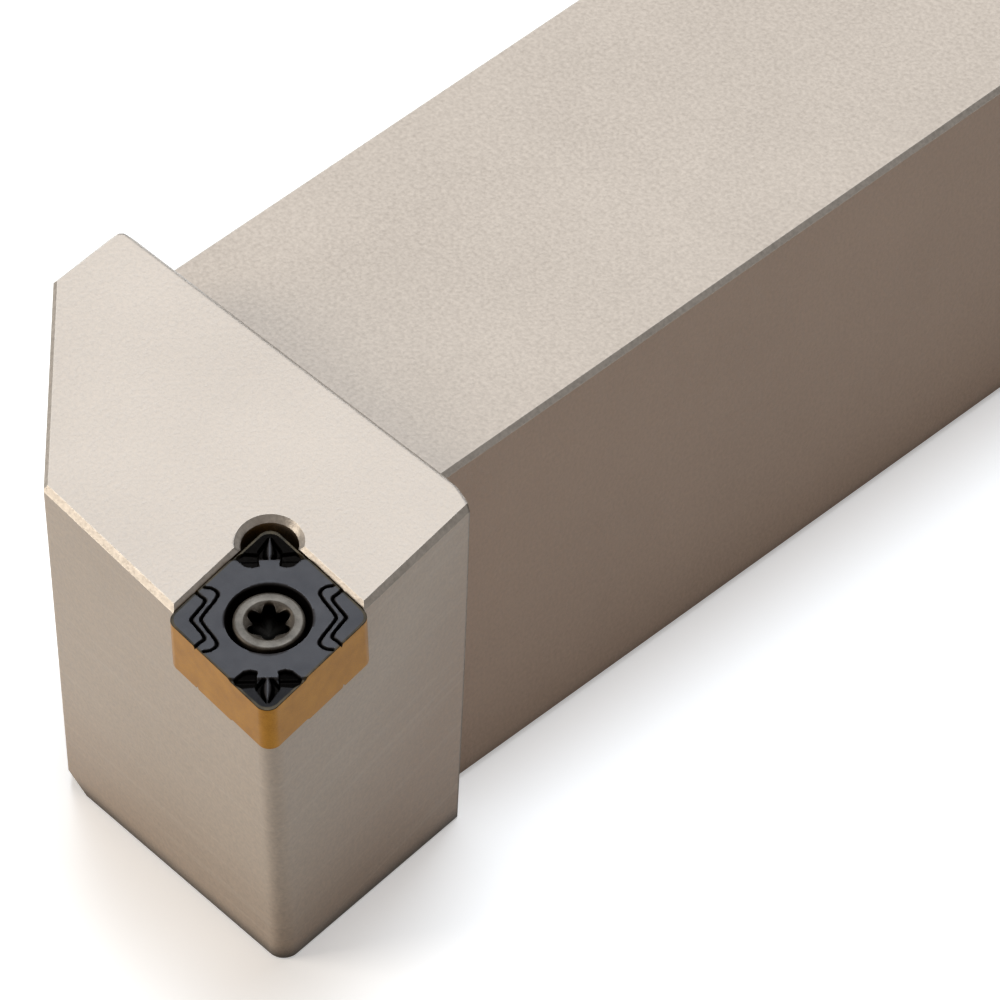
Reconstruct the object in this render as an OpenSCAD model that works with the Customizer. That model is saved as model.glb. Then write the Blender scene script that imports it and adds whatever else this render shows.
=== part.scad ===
// Indexable turning toolholder with a square shank and a raised, tilted head.
// An 80 degree double-sided insert sits in a corner pocket and is held by one
// screw with a six-lobe recess. X points to the cutting side, the head is at -Y,
// and the underside of the shank lies on Z = 0.

/* [Shank] */
// Height of the shank, which is also the height of the cutting tip
shank_h = 25; // [20:0.5:32]
// Width of the shank
shank_w = 25; // [20:0.5:32]
// Overall length from the cutting tip to the rear end
overall_len = 150; // [110:1:200]
// Chamfer along the four long edges
edge_chamfer = 0.3; // [0.2:0.05:1]
// Chamfer around the rear end
rear_chamfer = 1; // [0.4:0.1:2]

/* [Head] */
// Distance from the back side of the shank to the cutting tip
tip_offset = 32; // [29:0.25:38]
// Length of the raised head behind the cutting tip
head_len = 19.4; // [17:0.1:26]
// Distance behind the tip at which the slanting cut leaves the back side
cut_start = 13.75; // [11:0.05:16]
// Angle of the slanting cut to the front, in degrees
cut_angle = 46; // [40:0.5:50]
// Height of the head's top face over the face of the insert
head_proud = 0.13; // [0:0.01:0.3]
// Set-back of the head's front faces from the insert's flanks
body_setback = 0.7; // [0.3:0.05:1]
// Rounding of the corner under the cutting tip
nose_round = 1; // [0.5:0.1:2]
// Rounding of the head's rear corner on the back side
back_corner_r = 1.2; // [0.5:0.1:3]
// Radius of the head's rear corner on the cutting side
shoulder_r = 9; // [5:0.1:12]
// Straight run of the head's rear face beyond the shank
shoulder_run = 1.3; // [0.5:0.1:3]
// Bevel along the rear and back edges of the head's top face
head_bevel = 0.25; // [0.1:0.05:0.5]
// Bevel along the two front edges of the head's top face
front_bevel = 0.34; // [0.1:0.02:0.5]
// Chamfer under the slanting cut
foot_chamfer = 1.1; // [0.3:0.1:2]
// Radius of the coves where the head rises out of the shank
cove_r = 1.5; // [0.5:0.1:1.8]

/* [Seat] */
// Tilt of the seat towards the cutting side, in degrees
tilt_side = 6; // [3:0.5:8]
// Tilt of the seat towards the front, in degrees
tilt_front = 6; // [3:0.5:8]
// Angle of both cutting edges to the tool's axes, in degrees
lead = 5; // [5:0.5:8]
// Height of the band of the pocket walls that the insert touches
wall_contact = 1.9; // [1.2:0.1:3]
// Set-back of the pocket walls above that band
wall_relief = 0.1; // [0.04:0.02:0.3]
// Bevel along the upper edges of the pocket walls
pocket_bevel = 0.26; // [0.1:0.02:0.4]
// Radius of the hole that frees the insert's inner corner
corner_hole_r = 1.72; // [1.4:0.02:2.2]
// Chamfer around the corner hole
corner_hole_chamfer = 0.36; // [0.1:0.02:0.6]
// Distance of the corner hole from the middle of the insert
corner_hole_at = 5.56; // [5:0.02:6]
// Depth of the corner hole below the seat
corner_hole_deep = 1; // [0.3:0.1:2]

/* [Insert] */
// Diameter of the circle that touches all four flanks
insert_ic = 9.1; // [8.8:0.05:9.6]
// Thickness of the insert
insert_t = 3.97; // [3.6:0.01:4.8]
// Corner radius of the insert
insert_r = 0.8; // [0.4:0.1:1.2]
// Radius of the insert's hole at its narrowest
insert_hole_r = 1.905; // [1.8:0.005:2.1]
// Radius of the hole's mouth on each face
insert_mouth_r = 2.6; // [2.4:0.02:2.8]
// How far the cutting corners lie below the flat of the face
corner_drop = 0.15; // [0.05:0.01:0.25]
// Length of a lowered cutting corner along the long diagonal
corner_len = 2.35; // [1.8:0.05:2.8]
// Depth of the chip grooves below the flat of the face
groove_deep = 0.38; // [0.2:0.02:0.5]
// Width of the zigzag steps at the blunt corners
step_w = 0.2; // [0.12:0.02:0.3]
// Depth of the zigzag steps
step_deep = 0.12; // [0.06:0.02:0.2]

/* [Screw] */
// Thread diameter of the screw
screw_d = 3; // [2.5:0.1:3.4]
// Diameter of the screw's head
screw_head_d = 4.24; // [4:0.02:4.6]
// Length of the screw from the top of its head
screw_len = 9; // [7:0.1:12]
// How far the head lies below the insert's face
screw_drop = 0.2; // [0.1:0.02:0.4]
// Height of the cylindrical rim of the head
head_rim = 0.5; // [0.2:0.05:0.6]
// Half angle of the cone under the head, in degrees
cone_half = 30; // [20:1:45]
// Outer diameter of the six-lobe recess
lobe_d = 2.57; // [2:0.01:2.8]
// Depth of the six-lobe recess
lobe_deep = 1.25; // [0.8:0.05:1.5]
// Gap between the screw's cone and the insert's cone
cone_gap = 0.05; // [0.02:0.01:0.1]
// Radial gap between the screw and its hole in the head
thread_gap = 0.05; // [0.02:0.01:0.1]
// Chamfer at the mouth of the screw's hole
thread_mouth = 0.3; // [0.1:0.05:0.5]

/* [Hidden] */
$fn = 64;
eps = 0.01;
reach = 3 * max(shank_h, shank_w, head_len);

insert_half = 40;
tip_x = tip_offset - shank_w / 2;
tip_y = -overall_len / 2;
back_y = tip_y + head_len;

// The seat's own axes start at the cutting tip: u to the cutting side, v to the rear,
// and w out of the insert's face, which lies a little over the cutting corners
seat_u = [cos(tilt_side), 0, -sin(tilt_side)];
seat_v = [sin(tilt_front) * sin(tilt_side), cos(tilt_front), sin(tilt_front) * cos(tilt_side)];
seat_w = cross(seat_u, seat_v);
function seat_dir(p) = p.x * seat_u + p.y * seat_v + p.z * seat_w;
function seat_point(p) = [tip_x, tip_y, shank_h] + seat_dir(p);
head_w = corner_drop + head_proud;

// Height of the head's top face over a place in plan
function head_top(x, y) =
    let (p = seat_point([0, 0, head_w]))
    p.z - (seat_w.x * (x - p.x) + seat_w.y * (y - p.y)) / seat_w.z;

// Middle of the insert and centre of its nose, in the seat's axes
nose_at = [-insert_r, insert_r];
insert_at = nose_at + (insert_ic / 2 - insert_r) / sin(insert_half) * [-cos(45), sin(45)];
acute_at = (insert_ic / 2 - insert_r) / sin(insert_half);
blunt_at = (insert_ic / 2 - insert_r) / cos(insert_half);
tip_at = acute_at + insert_r;
apex_at = insert_ic / 2 / sin(insert_half);

cone_top = screw_drop + head_rim;
throat_at = cone_top + (screw_head_d / 2 + cone_gap - insert_hole_r) / tan(cone_half);
screw_r = screw_d / 2;
screw_rim = 0.15;
screw_lead_in = 0.4;
cone_low = cone_top + (screw_head_d / 2 - screw_r) / tan(cone_half);
tap_deep = screw_len + screw_drop + 1;

// Radii of the recess's lobes and of its middle, in parts of the outer diameter
lobe_part = 0.14;
root_part = 0.36;

// Outlines in the corner that falls away, in parts of its length: x from where it
// starts towards the tip, y across; the fan ends a little behind the cutting edge
fan_end = 0.5;
ridge_r = 0.22;
fan_side = [[0.17, 0.36], [-0.11, 0.13]];
step_pocket = [[-0.09, 0.83], [-0.34, 0.6], [-0.34, 0.23], [0.11, 0.26], [0.13, 0.64], [0.02, 0.79]];
function corner_points(row, side) = [
    for (p = row) [tip_at - corner_len + p.x * corner_len, side * p.y * corner_len]
];
function reversed(row) = [for (i = [len(row) - 1 : -1 : 0]) row[i]];

// Zigzag steps at a blunt corner, in parts of the insert's circle: y towards the corner
zigzag_inner = [[-0.24, 0.405], [-0.18, 0.325], [0, 0.44], [0.18, 0.325], [0.24, 0.405]];
zigzag_outer = [[-0.21, 0.44], [-0.14, 0.41], [0, 0.5], [0.14, 0.41], [0.21, 0.44]];
function blunt_points(row) = insert_ic * row;

module at_seat() {
    multmatrix([
        [seat_u.x, seat_v.x, seat_w.x, tip_x],
        [seat_u.y, seat_v.y, seat_w.y, tip_y],
        [seat_u.z, seat_v.z, seat_w.z, shank_h],
        [0, 0, 0, 1]
    ]) children();
}

// Insert axes: x along the long diagonal to the cutting tip, z out of the upper face
module at_insert() {
    at_seat()
        translate([insert_at.x, insert_at.y, corner_drop])
            rotate(-45)
                children();
}

// Removes all that lies beyond the plane through a point with an outward normal
module beyond(point, normal) {
    n = normal / norm(normal);
    translate(point)
        rotate([0, acos(n.z), atan2(n.y, n.x)])
            translate([-reach, -reach, 0])
                cube(2 * reach);
}

// Bevel along the edge where two faces meet, given a point on that edge
module bevel(point, face_a, face_b, size) {
    n = face_a / norm(face_a) + face_b / norm(face_b);
    beyond(point - n / norm(n) * size / sqrt(2), n);
}

// Shank

module shank_section() {
    c = edge_chamfer;
    w = shank_w / 2;
    polygon([
        [-w + c, 0], [w - c, 0], [w, c], [w, shank_h - c],
        [w - c, shank_h], [-w + c, shank_h], [-w, shank_h - c], [-w, c]
    ]);
}

module shank() {
    rear_y = overall_len / 2;
    difference() {
        translate([0, rear_y, 0])
            rotate([90, 0, 0])
                linear_extrude(rear_y - back_y + edge_chamfer)
                    shank_section();
        for (side = [-1, 1])
            bevel([side * shank_w / 2, rear_y, 0], [side, 0, 0], [0, 1, 0], rear_chamfer);
        bevel([0, rear_y, shank_h], [0, 0, 1], [0, 1, 0], rear_chamfer);
        bevel([0, rear_y, 0], [0, 0, -1], [0, 1, 0], rear_chamfer);
    }
}

// Head

// Plan of the head, left wide open at the front where the tilted faces cut it
module head_plan() {
    w = shank_w / 2;
    r = shoulder_r;
    difference() {
        union() {
            polygon([
                [-w, tip_y + cut_start],
                [-w + reach * cos(cut_angle), tip_y + cut_start - reach * sin(cut_angle)],
                [w + reach, tip_y + cut_start - reach * sin(cut_angle)],
                [w + reach, back_y],
                [-w + back_corner_r, back_y],
                [-w, back_y - back_corner_r]
            ]);
            translate([-w + back_corner_r, back_y - back_corner_r])
                circle(back_corner_r);
        }
        translate([w + shoulder_run, back_y - r])
            difference() {
                square(reach);
                circle(r);
            }
    }
}

// The two front faces, drawn in the seat's plane and parallel to the insert's flanks
module head_front() {
    r = nose_round;
    translate(nose_at)
        rotate(-45) {
            k = (r - insert_r + body_setback) / sin(insert_half);
            far = reach * [cos(180 - insert_half), sin(180 - insert_half)];
            touch = r * [sin(insert_half), cos(insert_half)];
            translate([-k, 0]) {
                circle(r);
                polygon([
                    touch, touch + far, [-reach, reach], [-reach, -reach],
                    [touch.x + far.x, -touch.y - far.y], [touch.x, -touch.y]
                ]);
            }
        }
}

// A concave cove along X at the foot of the raised head, on top of the shank
module top_cove() {
    translate([-shank_w / 2 + edge_chamfer, back_y, shank_h])
        rotate([90, 0, 90])
            linear_extrude(shank_w - 2 * edge_chamfer)
                difference() {
                    translate([-eps, -eps])
                        square(cove_r + eps);
                    translate([cove_r, cove_r])
                        circle(cove_r);
                }
}

// The upright cove between the shank's side and the head's shoulder
module side_cove() {
    top = head_top(shank_w / 2 + cove_r, back_y) - head_bevel;
    translate([shank_w / 2, back_y, edge_chamfer])
        linear_extrude(min(top, shank_h - edge_chamfer) - edge_chamfer)
            difference() {
                translate([-eps, -eps])
                    square(cove_r + eps);
                translate([cove_r, cove_r])
                    circle(cove_r);
            }
}

module head_block() {
    w = shank_w / 2;
    front_n = seat_dir([-sin(lead), -cos(lead), 0]);
    side_n = seat_dir([cos(lead), sin(lead), 0]);
    edge_r = insert_r - body_setback;
    cut_at = [-w, tip_y + cut_start];
    cut_n = [-sin(cut_angle), -cos(cut_angle), 0];
    difference() {
        intersection() {
            linear_extrude(2 * shank_h)
                head_plan();
            at_seat()
                translate([0, 0, -reach])
                    linear_extrude(reach + head_w)
                        head_front();
        }
        bevel(seat_point([nose_at.x - edge_r * sin(lead), nose_at.y - edge_r * cos(lead), head_w]),
              front_n, seat_w, front_bevel);
        bevel(seat_point([nose_at.x + edge_r * cos(lead), nose_at.y + edge_r * sin(lead), head_w]),
              side_n, seat_w, front_bevel);
        bevel([0, back_y, head_top(0, back_y)], [0, 1, 0], seat_w, head_bevel);
        bevel([-w, back_y, head_top(-w, back_y)], [-1, 0, 0], seat_w, head_bevel);
        bevel([cut_at.x, cut_at.y, head_top(cut_at.x, cut_at.y)], cut_n, seat_w, head_bevel);
        bevel([cut_at.x, cut_at.y, 0], cut_n, [0, 0, -1], foot_chamfer);
        bevel([-w, back_y, 0], [-1, 0, 0], [0, 0, -1], edge_chamfer);
    }
}

// Insert pocket

// Wedge between the two pocket walls, which runs out through the front faces
module pocket_wedge(set_back) {
    apex = apex_at + set_back / sin(insert_half);
    along = 3 * insert_ic * [cos(insert_half), sin(insert_half)];
    translate([-apex, 0])
        polygon([[0, 0], [along.x, -along.y], along]);
}

// Half-space on the insert's side of one wall's bevel
module beside_wall(side) {
    n = [-sin(insert_half), side * cos(insert_half), 0];
    start = [0, 0, head_proud - pocket_bevel];
    beyond(start + n * (insert_ic / 2 + wall_relief), [0, 0, 1] - n);
}

module pocket() {
    bore_r = screw_r + thread_gap;
    at_insert() {
        translate([0, 0, -insert_t])
            linear_extrude(insert_t + reach)
                pocket_wedge(0);
        translate([0, 0, -insert_t + wall_contact])
            linear_extrude(reach)
                pocket_wedge(wall_relief);
        intersection() {
            beside_wall(1);
            beside_wall(-1);
            translate([-reach, -reach, head_proud - pocket_bevel])
                cube(2 * reach);
        }
        translate([-corner_hole_at, 0, -insert_t - corner_hole_deep])
            cylinder(r = corner_hole_r, h = reach);
        translate([-corner_hole_at, 0, head_proud - corner_hole_chamfer])
            cylinder(r1 = corner_hole_r, r2 = corner_hole_r + reach, h = reach);
        translate([0, 0, -tap_deep])
            cylinder(r = bore_r, h = tap_deep);
        translate([0, 0, -insert_t - thread_mouth])
            cylinder(r1 = bore_r, r2 = bore_r + thread_mouth, h = thread_mouth);
    }
}

module holder_body() {
    color([0.80, 0.76, 0.70])
        difference() {
            union() {
                shank();
                head_block();
                top_cove();
                side_cove();
            }
            pocket();
        }
}

// Insert

module insert_outline() {
    // Places where the straight flanks touch the corner circles
    turn = 90 - insert_half;
    touch = insert_r * [cos(turn), sin(turn)];
    polygon([
        [acute_at + touch.x, touch.y], [touch.x, blunt_at + touch.y],
        [-touch.x, blunt_at + touch.y], [-acute_at - touch.x, touch.y],
        [-acute_at - touch.x, -touch.y], [-touch.x, -blunt_at - touch.y],
        [touch.x, -blunt_at - touch.y], [acute_at + touch.x, -touch.y]
    ]);
    for (side = [-1, 1]) {
        translate([side * acute_at, 0])
            circle(insert_r);
        translate([0, side * blunt_at])
            circle(insert_r);
    }
}

// Mouth, seat cone and throat of the hole, from one face to the middle
module insert_hole() {
    cylinder(r = insert_hole_r, h = 2 * insert_t, center = true);
    translate([0, 0, -cone_top])
        cylinder(r1 = screw_head_d / 2 + cone_gap, r2 = insert_mouth_r, h = cone_top);
    translate([0, 0, -throat_at])
        cylinder(r1 = insert_hole_r, r2 = screw_head_d / 2 + cone_gap, h = throat_at - cone_top);
}

// Chip grooves of one cutting corner: fan, ridge and the two stepped pockets behind it
module corner_form() {
    start = tip_at - corner_len;
    fan_tip = [tip_at - fan_end, 0];
    ridge_at = start + ridge_r / 2;
    translate([start, -insert_ic, -corner_drop])
        cube([corner_len + insert_r, 2 * insert_ic, corner_drop + eps]);
    translate([0, 0, -groove_deep])
        linear_extrude(groove_deep + eps) {
            difference() {
                polygon(concat(
                    [fan_tip], corner_points(fan_side, 1), reversed(corner_points(fan_side, -1))
                ));
                translate([ridge_at, 0])
                    circle(ridge_r);
                polygon([[ridge_at, ridge_r], [ridge_at, -ridge_r], fan_tip - [ridge_r / 2, 0]]);
            }
            for (side = [-1, 1])
                polygon(corner_points(step_pocket, side));
        }
}

// A bent groove of even width through a row of points
module bent_groove(points) {
    for (i = [0 : len(points) - 2]) {
        a = points[i];
        b = points[i + 1];
        d = b - a;
        translate(a)
            rotate(atan2(d.y, d.x))
                translate([0, -step_w / 2])
                    square([norm(d), step_w]);
        translate(b)
            circle(step_w / 2);
    }
}

// Two nested zigzag steps at one blunt corner
module blunt_form() {
    translate([0, 0, -step_deep])
        linear_extrude(step_deep + eps) {
            bent_groove(blunt_points(zigzag_inner));
            bent_groove(blunt_points(zigzag_outer));
        }
}

module face_form() {
    insert_hole();
    for (turn = [0, 180])
        rotate(turn) {
            corner_form();
            blunt_form();
        }
}

module insert() {
    color([0.62, 0.46, 0.22])
        at_insert()
            difference() {
                translate([0, 0, -insert_t])
                    linear_extrude(insert_t)
                        insert_outline();
                face_form();
                translate([0, 0, -insert_t])
                    mirror([0, 0, 1])
                        face_form();
            }
}

// Screw

module six_lobe() {
    lobe_r = lobe_part * lobe_d;
    root_r = root_part * lobe_d;
    circle(root_r);
    for (i = [0 : 5])
        rotate(60 * i) {
            translate([lobe_d / 2 - lobe_r, 0])
                circle(lobe_r);
            translate([0, -lobe_r])
                square([lobe_d / 2 - lobe_r, 2 * lobe_r]);
        }
}

module clamp_screw() {
    rim = screw_rim;
    lead_in = screw_lead_in;
    head_r = screw_head_d / 2;
    color([0.55, 0.54, 0.52])
        at_insert()
            translate([0, 0, -screw_drop])
                difference() {
                    rotate_extrude()
                        polygon([
                            [0, 0], [head_r - rim, 0], [head_r, -rim], [head_r, -head_rim],
                            [screw_r, screw_drop - cone_low], [screw_r, -screw_len + lead_in],
                            [screw_r - lead_in, -screw_len], [0, -screw_len]
                        ]);
                    translate([0, 0, -lobe_deep])
                        linear_extrude(lobe_deep + eps)
                            six_lobe();
                    translate([0, 0, -rim])
                        cylinder(r1 = lobe_d / 2 - rim, r2 = lobe_d / 2 + rim, h = 2 * rim);
                }
}

holder_body();
insert();
clamp_screw();
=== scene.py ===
# Turning toolholder: satin nickel holder, coated insert with chip grooves, six-lobe clamp screw
from math import cos, pi, radians, sin, sqrt, tan

import bmesh
import bpy
import numpy as np
from mathutils import Matrix, Vector


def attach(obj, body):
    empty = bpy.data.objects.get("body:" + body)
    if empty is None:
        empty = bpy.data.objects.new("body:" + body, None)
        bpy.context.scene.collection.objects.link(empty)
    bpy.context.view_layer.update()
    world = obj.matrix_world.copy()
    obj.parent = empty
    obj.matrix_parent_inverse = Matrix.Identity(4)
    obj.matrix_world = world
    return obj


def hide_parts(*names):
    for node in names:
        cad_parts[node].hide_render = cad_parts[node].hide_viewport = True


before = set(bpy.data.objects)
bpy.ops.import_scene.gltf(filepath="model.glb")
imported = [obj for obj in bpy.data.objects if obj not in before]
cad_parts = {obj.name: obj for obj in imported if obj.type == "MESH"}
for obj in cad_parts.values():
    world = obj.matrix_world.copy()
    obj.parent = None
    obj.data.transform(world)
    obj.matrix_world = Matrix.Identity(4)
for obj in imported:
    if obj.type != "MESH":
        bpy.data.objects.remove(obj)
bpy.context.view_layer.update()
millimetre = 0.001

# The seat, as the CAD has it: its plane starts at the cutting tip
seat = {
    "tip": (0.0195, -0.075, 0.025),
    "tiltSide": 6.0,       # degrees down towards the cutting side
    "tiltFront": 6.0,      # degrees down towards the front
    "faceUp": 0.15,        # mm from the cutting corners up to the flat of the face
}


def seatAxes():
    side, front = radians(seat["tiltSide"]), radians(seat["tiltFront"])
    u = Vector((cos(side), 0, -sin(side)))
    v = Vector((sin(front) * sin(side), cos(front), sin(front) * cos(side)))
    return u, v, u.cross(v)


insert = {
    "circle": 9.1,         # mm, touches all four flanks
    "thickness": 3.97,
    "halfAngle": 40.0,     # half of the sharp corner
    "cornerRadius": 0.8,
    "throatRadius": 1.905,
    "mouthRadius": 2.6,
    # Small bends in the hole's profile, mm outwards and mm down
    "throatBends": ((0.0, 0.1), (0.02, -0.04)),
    "coneBend": (0.05, -0.1),
    "mouthBend": (-0.03, 0.12),
    "cornerStart": 4.39,   # where the face falls towards a cutting corner
    "cornerFall": (-0.1, 0.12),
    "cornerDrop": 0.15,
    "edgeRound": 0.035,    # mm that the first and the last row lie lower
    "edgeShare": 0.3,      # part of it for the row before the last
    "arcPoints": 60,       # on each corner, before the points are spaced evenly
    "around": 680,         # points round the outline
    "across": 72,          # rows from the hole to the outline
    # Places of these rows as shares of the way: close, even, close
    "holeRows": (0, 0.012, 0.06, 0.12),
    "evenRows": (0.18, 0.985),
    "edgeRows": (0.995, 1.0),
    "flankRows": (0.0, 0.02, 0.35, 0.65, 0.98, 1.0),
    "rimRows": 6,          # rows along the outline that the edge finish takes
    "wall": 0.1,           # width of the sloping wall of a pocket
    "smoothUpTo": 50.0,    # degrees
}
goldSlot, darkSlot, bandSlot = range(3)

screw = {
    "headRadius": 2.12,
    "below": 0.2,          # its top lies this far under the insert's face
    "rim": 0.5,
    "coneHalf": 30.0,
    "coneGap": 0.05,
    "length": 9.0,
    "shaftRadius": 1.5,
    "lobes": 6,
    "lobeRadius": 1.42,
    "rootRadius": 0.98,
    "lobeFlat": 0.2,       # widens the lobes and narrows the bumps between them
    "recessDeep": 1.25,
    "bevelRadius": 1.5,
    "bevelSlope": 0.62,
    "bevelEnd": 0.02,
    # Profiles, mm outwards and mm up
    "pit": ((0.02, -0.28), (0.45, -0.12)),
    "floorBend": ((-0.06, 0), (0, 0.05)),
    "footBend": (0.015, 0.004),
    "headEdge": ((-0.2, 0), (-0.12, -0.01), (-0.02, -0.08), (0, -0.14)),
    "neckBend": ((0.02, 0.04), (-0.05, -0.05)),
    "tipEdge": ((-0.1, 0.25), (-0.4, 0)),
    "wallRows": (0.3, 0.6, 0.97),
    "bevelRows": (0.5, 0.96),
    "pitch": 0.5,
    "threadDeep": 0.28,
    "threadPlay": 0.02,
    "threadFrom": 0.3,     # mm below the cone
    "threadTo": 0.35,      # mm before the end
    "threadFade": 0.5,
    "grooveWide": 1.15,
    "grooveSlope": 2.3,
    "rowsPerTurn": 12,
    "around": 192,
    "smoothUpTo": 40.0,    # degrees
}


def insertMatrix():
    # Insert axes in mm: x along the long diagonal to the cutting tip, z out of the face
    u, v, w = seatAxes()
    half = radians(insert["halfAngle"])
    nose = insert["cornerRadius"]
    reach = (insert["circle"] / 2 - nose) / sin(half)
    middle = Vector((-nose - reach * sqrt(0.5), nose + reach * sqrt(0.5)))
    place = Vector(seat["tip"]) + millimetre * (u * middle.x + v * middle.y + w * seat["faceUp"])
    x, y = (u - v) * sqrt(0.5), (u + v) * sqrt(0.5)
    turn = Matrix((x, y, w)).transposed().to_4x4()
    return Matrix.Translation(place) @ turn @ Matrix.Scale(millimetre, 4)


toInsert = insertMatrix()


# Meshes

mergeWithin = 1e-8         # metres


def mergeByDistance(piece):
    work = bmesh.new()
    work.from_mesh(piece.data)
    bmesh.ops.remove_doubles(work, verts=work.verts, dist=mergeWithin)
    bmesh.ops.recalc_face_normals(work, faces=work.faces)
    work.to_mesh(piece.data)
    work.free()


def surfaceFromRings(name, rings, matrix, closeEnds=False):
    # A tube of quads through rings of equally many points
    rings = [np.asarray(ring, float) for ring in rings]
    count, around = len(rings), len(rings[0])
    points = np.concatenate(rings)
    index = np.arange(count * around).reshape(count, around)
    a, b = index[:-1], index[1:]
    quads = np.stack([a, np.roll(a, -1, 1), np.roll(b, -1, 1), b], -1).reshape(-1, 4)
    mesh = bpy.data.meshes.new(name)
    faces = quads.tolist()
    if closeEnds:
        faces.append(index[0][::-1].tolist())
        faces.append(index[-1].tolist())
    mesh.from_pydata(points.tolist(), [], faces)
    mesh.transform(matrix)
    piece = bpy.data.objects.new(name, mesh)
    bpy.context.scene.collection.objects.link(piece)
    return piece


def shadeBySharpness(piece, degrees):
    piece.data.shade_smooth()
    piece.data.set_sharp_from_angle(angle=radians(degrees))


def smoothStep(value, low, high):
    t = np.clip((value - low) / (high - low), 0, 1)
    return t * t * (3 - 2 * t)


def roundedLine(points, rounds=3):
    # Cuts the corners of a line again and again until it runs in soft bends
    line = np.array(points, float)
    for step in range(rounds):
        near = 0.75 * line[:-1] + 0.25 * line[1:]
        far = 0.25 * line[:-1] + 0.75 * line[1:]
        line = np.concatenate([line[:1], np.stack([near, far], 1).reshape(-1, 2), line[-1:]])
    return line


def lineDistance(places, line):
    best = np.full(len(places), np.inf)
    for start, end in zip(line[:-1], line[1:]):
        along = end - start
        t = np.clip((places - start) @ along / (along @ along), 0, 1)
        gap = places - start - t[:, None] * along
        best = np.minimum(best, (gap * gap).sum(1))
    return np.sqrt(best)


def insideDepth(places, outline):
    # Distance to a closed outline, positive inside it
    outline = np.array(outline, float)
    closed = np.concatenate([outline, outline[:1]])
    gap = lineDistance(places, closed)
    inside = np.zeros(len(places), bool)
    x, y = places[:, 0], places[:, 1]
    for start, end in zip(closed[:-1], closed[1:]):
        crosses = (start[1] > y) != (end[1] > y)
        slope = (end[0] - start[0]) / (end[1] - start[1] + 1e-12)
        inside ^= crosses & (x < start[0] + slope * (y - start[1]))
    return np.where(inside, gap, -gap)


# Insert

def insertOutline(count):
    lean = insert["halfAngle"]
    half = radians(lean)
    nose = insert["cornerRadius"]
    sharp = (insert["circle"] / 2 - nose) / sin(half)
    blunt = (insert["circle"] / 2 - nose) / cos(half)
    centres = ((sharp, 0), (0, blunt), (-sharp, 0), (0, -blunt))
    spans = ((lean - 90, 90 - lean), (90 - lean, 90 + lean),
             (90 + lean, 270 - lean), (270 - lean, 270 + lean))
    points = []
    for (x, y), (low, high) in zip(centres, spans):
        for angle in np.linspace(radians(low), radians(high), insert["arcPoints"]):
            points.append((x + nose * cos(angle), y + nose * sin(angle)))
    points = np.array(points + points[:1])
    lengths = np.concatenate([[0], np.cumsum(np.linalg.norm(np.diff(points, axis=0), axis=1))])
    even = np.linspace(0, lengths[-1], count, endpoint=False)
    return np.stack([np.interp(even, lengths, points[:, k]) for k in (0, 1)], 1)


chipForm = {
    # Outlines in the insert's own mm, for the cutting corner and the blunt corner at +y
    "pocket": [(4.4, 2.0), (3.82, 1.42), (3.72, 1.0), (3.84, 0.56), (4.9, 0.64), (5.0, 1.5),
               (4.75, 1.92)],
    "fan": [(4.3, -0.4), (4.32, 0.34), (4.7, 0.62), (4.95, 0.74), (5.15, 0.7), (6.05, 0.14),
            (6.15, 0), (6.15, -0.4)],
    "pocketDeep": 0.36,
    "floorRise": 0.45,         # share of the pocket's depth that is lost along this span
    "floorSpan": (3.8, 5.0),
    "fanDeep": 0.32,
    "ridgeRise": 0.14,
    "ridgeWidth": 0.4,
    "ridgeLeast": 0.01,
    "ridgeStart": (4.0, 4.9),  # the ridge widens here
    "ridgeEnd": (5.1, 6.35),   # and runs out here
    "innerStep": [(2.36, 3.72), (2.3, 3.3), (2.0, 2.96), (1.62, 2.96), (0.3, 3.82), (0.0, 3.92),
                  (-0.1, 3.92)],
    "outerStep": [(1.98, 4.2), (1.7, 3.96), (1.5, 3.68), (1.18, 3.72), (0.2, 4.4), (0.0, 4.5),
                  (-0.1, 4.5)],
    "lineDeep": 0.32,
    "lineFloor": 0.02,         # half widths at the bottom and at the top
    "lineWidth": 0.135,
}


def faceHeight(places):
    # Height of the face in mm at places in the insert's own axes, 0 on the flat
    form = chipForm
    x, y = np.abs(places[:, 0]), np.abs(places[:, 1])
    folded = np.stack([x, y], 1)
    fallStart, fallEnd = insert["cornerFall"]
    height = -insert["cornerDrop"] * smoothStep(x, insert["cornerStart"] + fallStart,
                                                insert["cornerStart"] + fallEnd)
    pocket = insideDepth(folded, form["pocket"])
    slope = 1 - form["floorRise"] * smoothStep(x, *form["floorSpan"])
    height -= form["pocketDeep"] * slope * smoothStep(pocket, 0, insert["wall"])
    fan = insideDepth(folded, form["fan"])
    ridgeWide = form["ridgeWidth"] * smoothStep(x, *form["ridgeStart"])
    ridgeWide *= 1 - smoothStep(x, *form["ridgeEnd"])
    ridge = np.clip(1 - (y / np.maximum(ridgeWide, form["ridgeLeast"])) ** 2, 0, 1)
    inFan = smoothStep(fan, 0, insert["wall"])
    height += inFan * (form["ridgeRise"] * ridge - form["fanDeep"] * (1 - ridge))
    for step in ("innerStep", "outerStep"):
        gap = lineDistance(folded, roundedLine(form[step]))
        height -= form["lineDeep"] * (1 - smoothStep(gap, form["lineFloor"], form["lineWidth"]))
    return height


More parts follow.
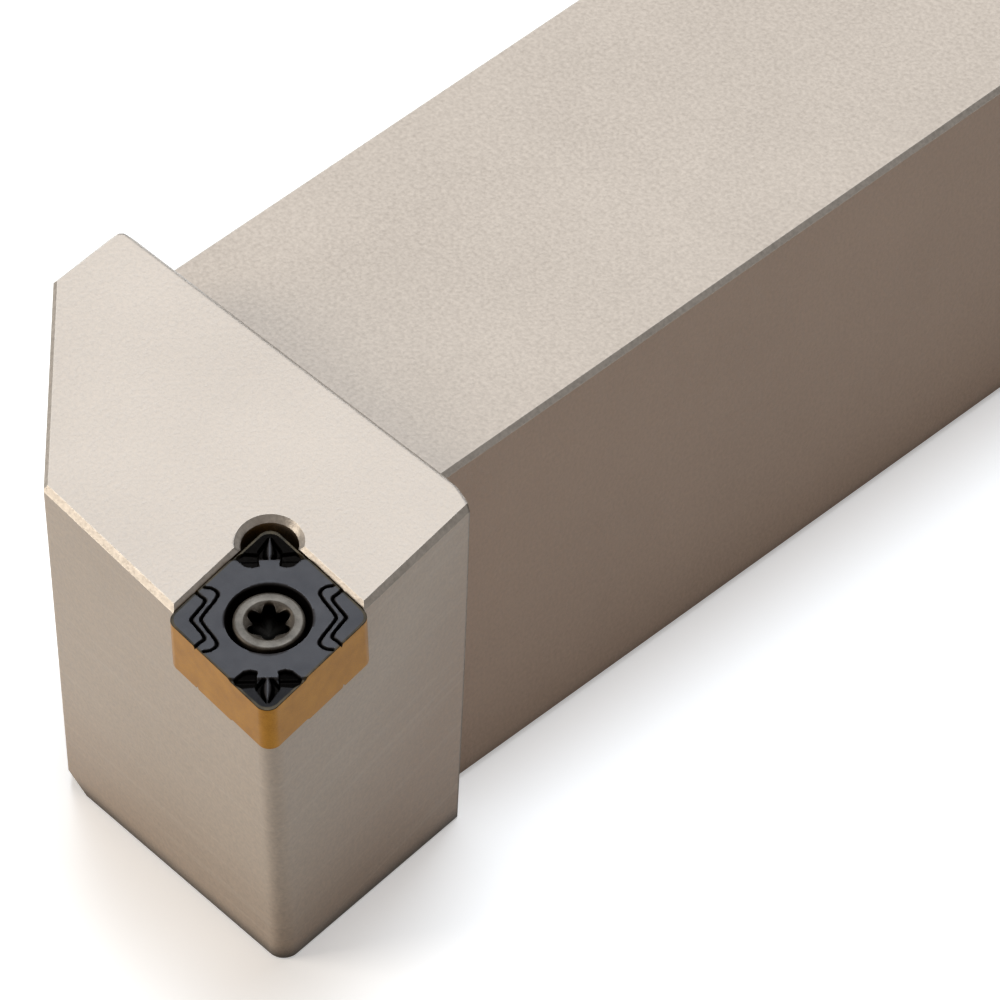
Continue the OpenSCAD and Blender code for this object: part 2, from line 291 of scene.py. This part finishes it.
def faceRings(outline, rows):
    directions = outline / np.linalg.norm(outline, axis=1)[:, None]
    mouth = directions * insert["mouthRadius"]
    close = len(insert["holeRows"]) + len(insert["edgeRows"])
    even = np.linspace(*insert["evenRows"], rows - close)
    shares = np.concatenate([insert["holeRows"], even, insert["edgeRows"]])
    lower = np.zeros(rows)
    lower[[0, -1]] = insert["edgeRound"]
    lower[-2] = insert["edgeShare"] * insert["edgeRound"]
    rings = []
    for share, drop in zip(shares, lower):
        flat = mouth * (1 - share) + outline * share
        rings.append(np.column_stack([flat, faceHeight(flat) - drop]))
    return rings


def holeProfile():
    # Radius and depth, from the middle of the insert up to its face
    throat = insert["throatRadius"]
    coneTop = screw["below"] + screw["rim"]
    seatRadius = screw["headRadius"] + screw["coneGap"]
    throatAt = coneTop + (seatRadius - throat) / tan(radians(screw["coneHalf"]))
    coneOut, coneDown = insert["coneBend"]
    mouthOut, mouthDown = insert["mouthBend"]
    profile = [(throat, insert["thickness"] / 2)]
    profile += [(throat + out, throatAt + down) for out, down in insert["throatBends"]]
    profile += [(seatRadius, coneTop), (seatRadius + coneOut, coneTop + coneDown)]
    return profile + [(insert["mouthRadius"] + mouthOut, mouthDown)]


def buildInsert():
    around = insert["around"]
    outline = insertOutline(around)
    directions = outline / np.linalg.norm(outline, axis=1)[:, None]
    bore = [np.column_stack([directions * radius, np.full(around, -deep)])
            for radius, deep in holeProfile()]
    flip = np.array([1, 1, -1.0])
    base = np.array([0, 0, -insert["thickness"]])
    upper = faceRings(outline, insert["across"])
    lower = [ring * flip + base for ring in reversed(upper)]
    flank = [upper[-1] * (1 - t) + lower[0] * t for t in insert["flankRows"]]
    lowerBore = [ring * flip + base for ring in reversed(bore[1:])]
    rings = bore + upper + flank[1:-1] + lower + lowerBore + [bore[0]]
    piece = surfaceFromRings("coatedInsert", rings, toInsert)
    rim = insert["rimRows"]
    bands = [(len(bore) + len(upper) - 1 - rim, darkSlot), (rim, bandSlot),
             (len(flank) - 1, goldSlot), (rim, bandSlot),
             (len(lower) + len(lowerBore) - rim, darkSlot)]
    slots = np.concatenate([np.full(rows * around, slot) for rows, slot in bands])
    slots = slots[:len(piece.data.polygons)]
    piece.data.polygons.foreach_set("material_index", slots.astype(np.int32))
    mergeByDistance(piece)
    shadeBySharpness(piece, insert["smoothUpTo"])
    return piece


# Clamp screw

def lobeOutline(angles):
    # Lobes with hollows between them, one lobe along the long diagonal
    middle = (screw["lobeRadius"] + screw["rootRadius"]) / 2
    swing = (screw["lobeRadius"] - screw["rootRadius"]) / 2
    turn = screw["lobes"] * angles
    return middle + swing * (np.cos(turn) - screw["lobeFlat"] * np.cos(2 * turn))


def buildScrew():
    angles = np.linspace(0, 2 * pi, screw["around"], endpoint=False)
    ray = np.column_stack([np.cos(angles), np.sin(angles)])
    lobe = lobeOutline(angles)
    head, shaft, bevel = screw["headRadius"], screw["shaftRadius"], screw["bevelRadius"]

    def ring(radius, height):
        radius = np.broadcast_to(radius, angles.shape)
        height = np.broadcast_to(height, angles.shape)
        return np.column_stack([ray * radius[:, None], height - screw["below"]])

    def profile(radius, height, steps):
        return [ring(radius + out, height + up) for out, up in steps]

    foot = -(bevel - lobe) * screw["bevelSlope"]
    floor = -screw["recessDeep"]
    rings = profile(0, floor, screw["pit"]) + profile(lobe, floor, screw["floorBend"])
    rings += [ring(lobe, floor * (1 - t) + foot * t) for t in screw["wallRows"]]
    rings += profile(lobe, foot, [screw["footBend"]])
    rings += [ring(lobe * (1 - t) + bevel * t, foot * (1 - t)) for t in screw["bevelRows"]]
    rings += [ring(bevel + screw["bevelEnd"], 0)]
    rings += profile(head, 0, screw["headEdge"]) + [ring(head, -screw["rim"])]
    coneEnd = -screw["rim"] - (head - shaft) / tan(radians(screw["coneHalf"]))
    rings += profile(shaft, coneEnd, screw["neckBend"])
    start = coneEnd - screw["threadFrom"]
    end = -screw["length"] + screw["threadTo"]
    rows = int((start - end) / screw["pitch"] * screw["rowsPerTurn"])
    for height in np.linspace(start, end, rows):
        phase = (height / screw["pitch"] + angles / (2 * pi)) % 1
        groove = np.clip(screw["grooveWide"] - screw["grooveSlope"] * np.abs(phase - 0.5), 0, 1)
        fromEnds = np.array([start - height, height - end])
        fade = smoothStep(fromEnds, 0.0, screw["threadFade"]).min()
        deep = screw["threadPlay"] + screw["threadDeep"] * fade * groove
        rings.append(ring(shaft - deep, height))
    rings += profile(shaft, -screw["length"], screw["tipEdge"])
    piece = surfaceFromRings("sixLobeScrew", rings[::-1], toInsert, closeEnds=True)
    mergeByDistance(piece)
    shadeBySharpness(piece, screw["smoothUpTo"])
    return piece


insertPiece = buildInsert()
print("insert", len(insertPiece.data.polygons), "faces")
screwPiece = buildScrew()
print("screw", len(screwPiece.data.polygons), "faces")


# Effects, each built once as a node group

def newGroup(name, inputs, outputs):
    tree = bpy.data.node_groups.new(name, "ShaderNodeTree")
    for label, kind, value in inputs:
        socket = tree.interface.new_socket(name=label, in_out="INPUT", socket_type=kind)
        socket.default_value = value
    for label, kind in outputs:
        tree.interface.new_socket(name=label, in_out="OUTPUT", socket_type=kind)
    return tree, tree.nodes.new("NodeGroupInput"), tree.nodes.new("NodeGroupOutput")


def addNode(tree, kind, sources=None, **settings):
    node = tree.nodes.new("ShaderNode" + kind)
    for key, value in settings.items():
        setattr(node, key, value)
    for socket, source in (sources or {}).items():
        if isinstance(source, bpy.types.NodeSocket):
            tree.links.new(source, node.inputs[socket])
        else:
            node.inputs[socket].default_value = source
    return node


def calculate(tree, operation, *values):
    return addNode(tree, "Math", dict(enumerate(values)), operation=operation).outputs[0]


def dotProduct(tree, first, second):
    return addNode(tree, "VectorMath", {0: first, 1: second},
                   operation="DOT_PRODUCT").outputs["Value"]


def remap(tree, source, low, high, fromLow=0.0, fromHigh=1.0):
    return addNode(tree, "MapRange", {"Value": source, "From Min": fromLow, "From Max": fromHigh,
                                      "To Min": low, "To Max": high}).outputs["Result"]


def insertCoordinate(tree, axis):
    # Place in mm along one of the insert's own axes: 0 long diagonal, 1 short diagonal, 2 up
    row = toInsert.inverted()[axis]
    place = addNode(tree, "TexCoord").outputs["Object"]
    return calculate(tree, "ADD", dotProduct(tree, place, tuple(row[:3])), row[3])


effects = {
    "noiseDetail": {"Grain": 3.0, "Cloud": 2.0},
    "noiseRoughness": 0.6,
    "edgeSamples": 4,
    "edgeCosine": (0.995, 0.93),   # between the true and the softened normal, flat and edge
    "rearLean": (0.05, 0.2),       # how far the softened normal leans to the rear
    "faceBands": {"Cut": (0.4, 0.92), "Upright": (-0.04, 0.08), "Milled": (0.05, 0.3)},
    "lineRise": 10.0,              # degrees
    "lineDrift": 40.0,             # per metre, slow change along the lines
    "lineDetail": 2.0,
    "occlusionSamples": 8,
    "occlusionOpen": (0.8, 0.45),       # how open the ground is, without and with full painted shade
}


def grainGroup():
    # Fine blasted grain and broad cloudiness, both around 0.5
    tree, given, result = newGroup(
        "blastedGrain",
        [("Grain Size", "NodeSocketFloat", 0.2), ("Cloud Size", "NodeSocketFloat", 6.0)],
        [("Grain", "NodeSocketFloat"), ("Cloud", "NodeSocketFloat")])
    place = addNode(tree, "TexCoord").outputs["Object"]
    for label, detail in effects["noiseDetail"].items():
        scale = calculate(tree, "DIVIDE", 1 / millimetre, given.outputs[label + " Size"])
        noise = addNode(tree, "TexNoise", {"Vector": place, "Scale": scale, "Detail": detail,
                                           "Roughness": effects["noiseRoughness"]})
        tree.links.new(noise.outputs["Fac"], result.inputs[label])
    return tree


def edgeGroup():
    # Mask for painted highlights with wear: 1 along edges, 0 on flat ground. Rear, for painted shade: only
    # where the edge leans to the rear
    tree, given, result = newGroup(
        "edgeHighlightAndShade", [("Width", "NodeSocketFloat", 0.2)],
        [("Mask", "NodeSocketFloat"), ("Rear", "NodeSocketFloat")])
    radius = calculate(tree, "MULTIPLY", given.outputs["Width"], millimetre)
    soft = addNode(tree, "Bevel", {"Radius": radius}, samples=effects["edgeSamples"]).outputs["Normal"]
    flat = addNode(tree, "NewGeometry").outputs["Normal"]
    mask = remap(tree, dotProduct(tree, soft, flat), 0, 1, *effects["edgeCosine"])
    behind = remap(tree, dotProduct(tree, soft, (0, 1, 0)), 0, 1, *effects["rearLean"])
    tree.links.new(mask, result.inputs["Mask"])
    tree.links.new(calculate(tree, "MULTIPLY", mask, behind), result.inputs["Rear"])
    return tree


def depthGroup():
    # 1 in grooves below either face of the insert, 0 on the flat
    tree, given, result = newGroup(
        "grooveDepth",
        [("Start", "NodeSocketFloat", 0.05), ("End", "NodeSocketFloat", 0.2)],
        [("Mask", "NodeSocketFloat")])
    half = insert["thickness"] / 2
    fromMiddle = calculate(tree, "ABSOLUTE", calculate(tree, "ADD", insertCoordinate(tree, 2), half))
    deep = calculate(tree, "SUBTRACT", half, fromMiddle)
    mask = remap(tree, deep, 0, 1, given.outputs["Start"], given.outputs["End"])
    tree.links.new(mask, result.inputs["Mask"])
    return tree


def faceGroup():
    # Cut: faces that lean. Upright: sides of the shank. Milled: the tilted faces of the head
    tree, given, result = newGroup(
        "faceKinds", [("Softness", "NodeSocketFloat", 0.03)],
        [(label, "NodeSocketFloat") for label in effects["faceBands"]])
    normal = addNode(tree, "TexCoord").outputs["Normal"]
    parts = addNode(tree, "SeparateXYZ", {0: normal})
    tall = calculate(tree, "ABSOLUTE", parts.outputs["Z"])
    for label, (start, end) in effects["faceBands"].items():
        # 1 between two values of the normal's height
        low = calculate(tree, "ADD", start, given.outputs["Softness"])
        high = calculate(tree, "SUBTRACT", end, given.outputs["Softness"])
        rise = remap(tree, tall, 0, 1, start, low)
        fall = remap(tree, tall, 0, 1, end, high)
        tree.links.new(calculate(tree, "MULTIPLY", rise, fall), result.inputs[label])
    return tree


def lineGroup():
    # Fine lines left by a cutter, rising a little towards the rear
    rise = radians(effects["lineRise"])
    tree, given, result = newGroup(
        "cutterLines", [("Spacing", "NodeSocketFloat", 0.3)], [("Lines", "NodeSocketFloat")])
    place = addNode(tree, "TexCoord").outputs["Object"]
    across = dotProduct(tree, place, (0, -sin(rise), cos(rise)))
    scale = calculate(tree, "DIVIDE", 1 / millimetre, given.outputs["Spacing"])
    parts = addNode(tree, "SeparateXYZ", {0: place})
    slowX, slowY = [calculate(tree, "MULTIPLY", parts.outputs[axis], effects["lineDrift"]) for axis in "XY"]
    joined = addNode(tree, "CombineXYZ", {0: slowX, 1: slowY, 2: calculate(tree, "MULTIPLY", across, scale)})
    noise = addNode(tree, "TexNoise", {"Vector": joined.outputs[0], "Scale": 1.0,
                                       "Detail": effects["lineDetail"]})
    tree.links.new(noise.outputs["Fac"], result.inputs["Lines"])
    return tree


def occlusionShadeGroup():
    # Painted shade mask: 1 deep in narrow recesses, 0 in the open
    tree, given, result = newGroup(
        "recessDirt", [("Reach", "NodeSocketFloat", 2.0)], [("Mask", "NodeSocketFloat")])
    reach = calculate(tree, "MULTIPLY", given.outputs["Reach"], millimetre)
    openness = addNode(tree, "AmbientOcclusion", {"Distance": reach}, samples=effects["occlusionSamples"])
    mask = remap(tree, openness.outputs["AO"], 0, 1, *effects["occlusionOpen"])
    tree.links.new(mask, result.inputs["Mask"])
    return tree


blastedGrain = grainGroup()
faceKinds = faceGroup()
cutterLines = lineGroup()
recessDirt = occlusionShadeGroup()
edgeHighlightAndShade = edgeGroup()
grooveDepth = depthGroup()


def placeGroup(tree, group, **values):
    node = tree.nodes.new("ShaderNodeGroup")
    node.node_tree = group
    for label, value in values.items():
        node.inputs[label.replace("_", " ")].default_value = value
    return node


def startMaterial(name):
    material = bpy.data.materials.new(name)
    material.use_nodes = True
    return material, material.node_tree, material.node_tree.nodes["Principled BSDF"]


def mixColours(tree, share, low, high):
    node = addNode(tree, "Mix", data_type="RGBA")
    for socket, source in ((node.inputs[0], share), (node.inputs[6], low), (node.inputs[7], high)):
        if isinstance(source, bpy.types.NodeSocket):
            tree.links.new(source, socket)
        else:
            socket.default_value = source
    return node.outputs[2]


noiseSpan = (0.3, 0.7)     # nearly all of the noise lies in here
sumSpan = (0.7, 1.3)       # and the sum of two noises in here


def addNoise(tree, finish):
    return placeGroup(tree, blastedGrain, Grain_Size=finish["grainSize"],
                      Cloud_Size=finish["cloudSize"]).outputs


def mottled(tree, noise, low, high):
    # A colour between two, by grain and cloud together
    both = calculate(tree, "ADD", noise["Grain"], noise["Cloud"])
    return mixColours(tree, remap(tree, both, 0, 1, *sumSpan), low, high)


def grainRoughness(tree, noise, finish):
    return remap(tree, noise["Grain"], *finish["roughness"], *noiseSpan)


def addRelief(tree, shader, noise, finish):
    bump = addNode(tree, "Bump", {"Height": noise["Grain"], "Strength": finish["bump"],
                                  "Distance": finish["relief"]})
    tree.links.new(bump.outputs["Normal"], shader.inputs["Normal"])


nickel = {
    "metallic": 0.12,
    "dark": (0.50, 0.416, 0.333, 1),
    "light": (0.66, 0.554, 0.447, 1),
    "shadedSideDark": (0.40, 0.281, 0.198, 1),  # painted shade: the upright sides of the shank are darker and browner
    "shadedSideLight": (0.525, 0.375, 0.268, 1),
    # lighter cream for the cutter lines, and a painted highlight with wear along all edges
    "wornAndHighlight": (0.82, 0.75, 0.64, 1),
    # painted shade in narrow recesses, found by occlusion
    "occludedShade": (0.012, 0.010, 0.008, 1),
    "occludedShadeReach": 2.0,
    "roughness": (0.42, 0.58),
    "grainSize": 0.26,
    "cloudSize": 9.0,
    "grainShare": 0.8,                   # rest of the mottling is broad cloud
    "bump": 0.22,
    "relief": 0.0001,
    "lineSpacing": 0.5,
    "lineSpan": (0.55, 0.8),
    "lineShare": 0.2,                    # strength of the cutter lines
    "cutDark": (0.37, 0.322, 0.265, 1),  # chamfers, cut after blasting
    "cutLight": (0.56, 0.49, 0.41, 1),
    "cutMetallic": 0.4,
    "cutRoughness": 0.33,
    "edgeWidth": 0.09,
    "edgeShare": 0.4,
    "rearWidth": 0.28,
    "rearEdgeShade": (0.05, 0.042, 0.033, 1),  # painted shade: edges that face the rear end are dark
    "footShadeAlong": (0, 1, -0.8),          # painted shade: the head's side turns darker and browner towards the rear and the foot
    "footShadeFrom": -0.079,
    "footShadeTo": -0.066,
    "footShadeShare": 0.6,
    "specular": 0.4,
}


def satinNickel():
    material, tree, shader = startMaterial("satinNickel")
    noise = addNoise(tree, nickel)
    kinds = placeGroup(tree, faceKinds).outputs
    share = nickel["grainShare"]
    fine = calculate(tree, "MULTIPLY", noise["Grain"], share)
    blend = calculate(tree, "MULTIPLY_ADD", noise["Cloud"], 1 - share, fine)
    mottle = remap(tree, blend, 0, 1, *noiseSpan)
    ground = mixColours(tree, mottle, nickel["dark"], nickel["light"])
    # Painted shade: upright faces, and the head's side towards the rear and the foot, take the darker side
    # colours
    side = mixColours(tree, mottle, nickel["shadedSideDark"], nickel["shadedSideLight"])
    lean = dotProduct(tree, addNode(tree, "TexCoord").outputs["Object"], nickel["footShadeAlong"])
    footShade = remap(tree, lean, 0, nickel["footShadeShare"], nickel["footShadeFrom"], nickel["footShadeTo"])
    footShade = calculate(tree, "MULTIPLY", footShade, kinds["Milled"])
    colour = mixColours(tree, calculate(tree, "MAXIMUM", footShade, kinds["Upright"]), ground, side)
    lines = placeGroup(tree, cutterLines, Spacing=nickel["lineSpacing"]).outputs["Lines"]
    milled = remap(tree, lines, 0, nickel["lineShare"], *nickel["lineSpan"])
    milled = calculate(tree, "MULTIPLY", milled, kinds["Milled"])
    colour = mixColours(tree, milled, colour, nickel["wornAndHighlight"])
    cut = mixColours(tree, mottle, nickel["cutDark"], nickel["cutLight"])
    colour = mixColours(tree, kinds["Cut"], colour, cut)
    # Painted highlight with wear: all edges turn lighter
    edge = placeGroup(tree, edgeHighlightAndShade, Width=nickel["edgeWidth"]).outputs["Mask"]
    colour = mixColours(tree, remap(tree, edge, 0, nickel["edgeShare"]), colour, nickel["wornAndHighlight"])
    # Painted shade along edges that face the rear
    rear = placeGroup(tree, edgeHighlightAndShade, Width=nickel["rearWidth"]).outputs["Rear"]
    colour = mixColours(tree, rear, colour, nickel["rearEdgeShade"])
    # Painted shade: narrow recesses turn near black
    occludedShade = placeGroup(tree, recessDirt, Reach=nickel["occludedShadeReach"]).outputs["Mask"]
    tree.links.new(mixColours(tree, occludedShade, colour, nickel["occludedShade"]), shader.inputs["Base Color"])
    rough = addNode(tree, "Mix", {"Factor": kinds["Cut"], "A": grainRoughness(tree, noise, nickel),
                                  "B": nickel["cutRoughness"]})
    tree.links.new(rough.outputs["Result"], shader.inputs["Roughness"])
    metallic = remap(tree, kinds["Cut"], nickel["metallic"], nickel["cutMetallic"])
    tree.links.new(metallic, shader.inputs["Metallic"])
    shader.inputs["Specular IOR Level"].default_value = nickel["specular"]
    addRelief(tree, shader, noise, nickel)
    return material


darkCoating = {
    "land": (0.028, 0.0255, 0.0265, 1),
    "landLight": (0.047, 0.0425, 0.042, 1),
    # painted highlight: thin light lines along the edges of the face
    "hairHighlight": (0.16, 0.16, 0.165, 1),
    "hairWidth": 0.035,
    "hairShare": 0.7,
    # painted shade: the grooves and pockets turn near black
    "groove": (0.0022, 0.0018, 0.0015, 1),
    "grooveShadeSpan": {"Start": 0.03, "End": 0.175},
    "metallic": (0.3, 1.0),              # on the flat and in the grooves
    "roughness": (0.42, 0.54),
    "grainSize": 0.12,
    "cloudSize": 1.6,
    "bump": 0.1,
    "relief": 0.00005,
    "specular": 0.25,
    "shadedCornerFrom": -4.2,                  # mm along the diagonal: the corner inside the holder sees no light and gets painted shade
    "shadedCornerTo": -4.45,                   # sees no light, and oil stays in it
    "shadedCornerSpan": {"Start": 0.03, "End": 0.08},
}


def darkFace():
    material, tree, shader = startMaterial("darkCoating")
    noise = addNoise(tree, darkCoating)
    # Painted shade: the grooves and pockets turn near black
    seen = placeGroup(tree, grooveDepth, **darkCoating["grooveShadeSpan"]).outputs["Mask"]
    # Painted shade in the corner inside the holder, already at shallow depth
    shadedCorner = placeGroup(tree, grooveDepth, **darkCoating["shadedCornerSpan"]).outputs["Mask"]
    inside = remap(tree, insertCoordinate(tree, 0), 0, 1,
                   darkCoating["shadedCornerFrom"], darkCoating["shadedCornerTo"])
    depth = addNode(tree, "Mix", {"Factor": inside, "A": seen, "B": shadedCorner}).outputs["Result"]
    land = mottled(tree, noise, darkCoating["land"], darkCoating["landLight"])
    # Painted highlight along the edges
    edge = placeGroup(tree, edgeHighlightAndShade, Width=darkCoating["hairWidth"]).outputs["Mask"]
    land = mixColours(tree, remap(tree, edge, 0, darkCoating["hairShare"]), land,
                      darkCoating["hairHighlight"])
    tree.links.new(mixColours(tree, depth, land, darkCoating["groove"]), shader.inputs["Base Color"])
    tree.links.new(grainRoughness(tree, noise, darkCoating), shader.inputs["Roughness"])
    tree.links.new(remap(tree, depth, *darkCoating["metallic"]), shader.inputs["Metallic"])
    shader.inputs["Specular IOR Level"].default_value = darkCoating["specular"]
    addRelief(tree, shader, noise, darkCoating)
    return material


edgeCoating = {
    "dark": (0.020, 0.016, 0.010, 1),
    "light": (0.052, 0.038, 0.021, 1),
    "cloudSpan": (0.35, 0.65),
    "metallic": 0.5,
    "roughness": (0.4, 0.52),
    "grainSize": 0.08,
    "cloudSize": 0.9,
    "specular": 0.15,
}


def edgeBand():
    # The narrow honed band where the dark face meets the gold flanks
    material, tree, shader = startMaterial("edgeCoating")
    noise = addNoise(tree, edgeCoating)
    cloud = remap(tree, noise["Cloud"], 0, 1, *edgeCoating["cloudSpan"])
    tree.links.new(mixColours(tree, cloud, edgeCoating["dark"], edgeCoating["light"]),
                   shader.inputs["Base Color"])
    tree.links.new(grainRoughness(tree, noise, edgeCoating), shader.inputs["Roughness"])
    shader.inputs["Metallic"].default_value = edgeCoating["metallic"]
    shader.inputs["Specular IOR Level"].default_value = edgeCoating["specular"]
    return material


goldCoating = {
    "deep": (0.35, 0.147, 0.008, 1),
    "bright": (0.48, 0.222, 0.018, 1),
    "metallic": 0.32,
    "roughness": (0.34, 0.46),
    "grainSize": 0.1,
    "cloudSize": 1.2,
    "bump": 0.08,
    "relief": 0.00005,
    "specular": 0.1,
}


def goldFlank():
    material, tree, shader = startMaterial("goldCoating")
    noise = addNoise(tree, goldCoating)
    tree.links.new(mottled(tree, noise, goldCoating["deep"], goldCoating["bright"]),
                   shader.inputs["Base Color"])
    tree.links.new(grainRoughness(tree, noise, goldCoating), shader.inputs["Roughness"])
    shader.inputs["Metallic"].default_value = goldCoating["metallic"]
    shader.inputs["Specular IOR Level"].default_value = goldCoating["specular"]
    addRelief(tree, shader, noise, goldCoating)
    return material


screwFinish = {
    "dark": (0.050, 0.040, 0.029, 1),
    "light": (0.125, 0.103, 0.078, 1),
    # painted highlight with wear along the edges
    "wornAndHighlight": (0.36, 0.32, 0.27, 1),
    "edgeWidth": 0.05,
    # painted shade: the recess turns near black
    "recess": (0.004, 0.0034, 0.0028, 1),
    "recessSpan": {"Start": 0.36, "End": 0.62},
    "recessRadius": (1.49, 1.45),        # mm, the painted shade of the recess lies within it
    "recessFloor": (-1.76, -1.74),       # mm, and above this height; the shaft starts lower
    "metallic": (0.6, 1.0),              # on the head and in the recess
    "roughness": (0.4, 0.54),
    "grainSize": 0.09,
    "cloudSize": 0.8,
    "bump": 0.1,
    "relief": 0.00005,
}


def oiledSteel():
    material, tree, shader = startMaterial("oiledSteel")
    noise = addNoise(tree, screwFinish)
    ground = mottled(tree, noise, screwFinish["dark"], screwFinish["light"])
    # Painted shade: the recess turns near black
    depth = placeGroup(tree, grooveDepth, **screwFinish["recessSpan"]).outputs["Mask"]
    flat = addNode(tree, "CombineXYZ", {0: insertCoordinate(tree, 0), 1: insertCoordinate(tree, 1)})
    radius = addNode(tree, "VectorMath", {0: flat.outputs[0]}, operation="LENGTH").outputs["Value"]
    within = remap(tree, radius, 0, 1, *screwFinish["recessRadius"])
    above = remap(tree, insertCoordinate(tree, 2), 0, 1, *screwFinish["recessFloor"])
    recess = calculate(tree, "MULTIPLY", depth, calculate(tree, "MULTIPLY", within, above))
    # Painted highlight with wear along the edges
    edge = placeGroup(tree, edgeHighlightAndShade, Width=screwFinish["edgeWidth"]).outputs["Mask"]
    wornAndHighlight = mixColours(tree, edge, ground, screwFinish["wornAndHighlight"])
    tree.links.new(mixColours(tree, recess, wornAndHighlight, screwFinish["recess"]), shader.inputs["Base Color"])
    tree.links.new(grainRoughness(tree, noise, screwFinish), shader.inputs["Roughness"])
    tree.links.new(remap(tree, recess, *screwFinish["metallic"]), shader.inputs["Metallic"])
    addRelief(tree, shader, noise, screwFinish)
    return material


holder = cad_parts["holder_body"]
holder.data.materials.clear()
holder.data.materials.append(satinNickel())
for finish in (goldFlank, darkFace, edgeBand):  # in the order of the material slots
    insertPiece.data.materials.append(finish())
screwPiece.data.materials.append(oiledSteel())

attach(insertPiece, "holder")
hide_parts("insert")
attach(screwPiece, "screw")
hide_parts("clamp_screw")
print("materials done")


# Studio

studio = {
    "floorSize": 4.0,
    "floorBelow": 0.0001,
    "floorRoughness": 0.9,
    "floorColour": (0.28, 0.27, 0.255, 1),  # what it throws back onto the object
    "floorSeen": (0.95, 0.92, 0.87, 1),     # what the camera and reflections see
    "floorGlow": 0.40,
    "glowColour": (1, 1, 1, 1),
    "worldColour": (1.0, 0.80, 0.66, 1),
    "worldStrength": 0.16,
}
lampTarget = Vector((0.005, -0.03, 0.02))
lamps = {
    # name: place, size, watts, colour
    "keyLeft": ((-0.50, -0.66, 0.44), 0.45, 3.55, (1.0, 0.94, 0.86)),
    "topBack": ((-0.13, 0.15, 0.96), 0.5, 8.15, (0.93, 1.06, 1.22)),
}


def buildFloor():
    half = studio["floorSize"] / 2
    mesh = bpy.data.meshes.new("studioFloor")
    mesh.from_pydata([(-half, -half, 0), (half, -half, 0), (half, half, 0), (-half, half, 0)], [],
                     [(0, 1, 2, 3)])
    floor = bpy.data.objects.new("studioFloor", mesh)
    floor.location.z = -studio["floorBelow"]
    bpy.context.scene.collection.objects.link(floor)
    material, tree, shader = startMaterial("paleFloor")
    shader.inputs["Roughness"].default_value = studio["floorRoughness"]
    path = addNode(tree, "LightPath").outputs
    seen = calculate(tree, "MAXIMUM", path["Is Camera Ray"], path["Is Glossy Ray"])
    seen = calculate(tree, "MAXIMUM", seen, path["Is Transmission Ray"])
    tree.links.new(mixColours(tree, seen, studio["floorColour"], studio["floorSeen"]),
                   shader.inputs["Base Color"])
    shader.inputs["Emission Color"].default_value = studio["glowColour"]
    tree.links.new(calculate(tree, "MULTIPLY", seen, studio["floorGlow"]),
                   shader.inputs["Emission Strength"])
    mesh.materials.append(material)


def buildLamps():
    for name, (place, size, watts, colour) in lamps.items():
        data = bpy.data.lights.new(name, "AREA")
        data.shape = "SQUARE"
        data.size = size
        data.energy = watts
        data.color = colour
        lamp = bpy.data.objects.new(name, data)
        lamp.location = place
        lamp.rotation_euler = (lampTarget - Vector(place)).to_track_quat("-Z", "Y").to_euler()
        bpy.context.scene.collection.objects.link(lamp)


def buildWorld():
    world = bpy.data.worlds.new("studioWorld")
    world.use_nodes = True
    ground = world.node_tree.nodes["Background"]
    ground.inputs["Color"].default_value = studio["worldColour"]
    ground.inputs["Strength"].default_value = studio["worldStrength"]
    bpy.context.scene.world = world


camera = {
    "place": (0.345421, -0.372123, 0.446197),
    "turn": (47.4157, 1.2170, 44.7466),
    "lens": 382.299,
    "sensor": 36.0,
    "clipEnd": 10.0,
}


def buildCamera():
    data = bpy.data.cameras.new("photoCamera")
    data.sensor_width = camera["sensor"]
    data.lens = camera["lens"]
    data.clip_end = camera["clipEnd"]
    view = bpy.data.objects.new("photoCamera", data)
    view.location = camera["place"]
    view.rotation_euler = [radians(angle) for angle in camera["turn"]]
    bpy.context.scene.collection.objects.link(view)
    bpy.context.scene.camera = view


buildFloor()
buildLamps()
buildWorld()
buildCamera()
bpy.context.scene.view_settings.view_transform = "Standard"
print("studio done")
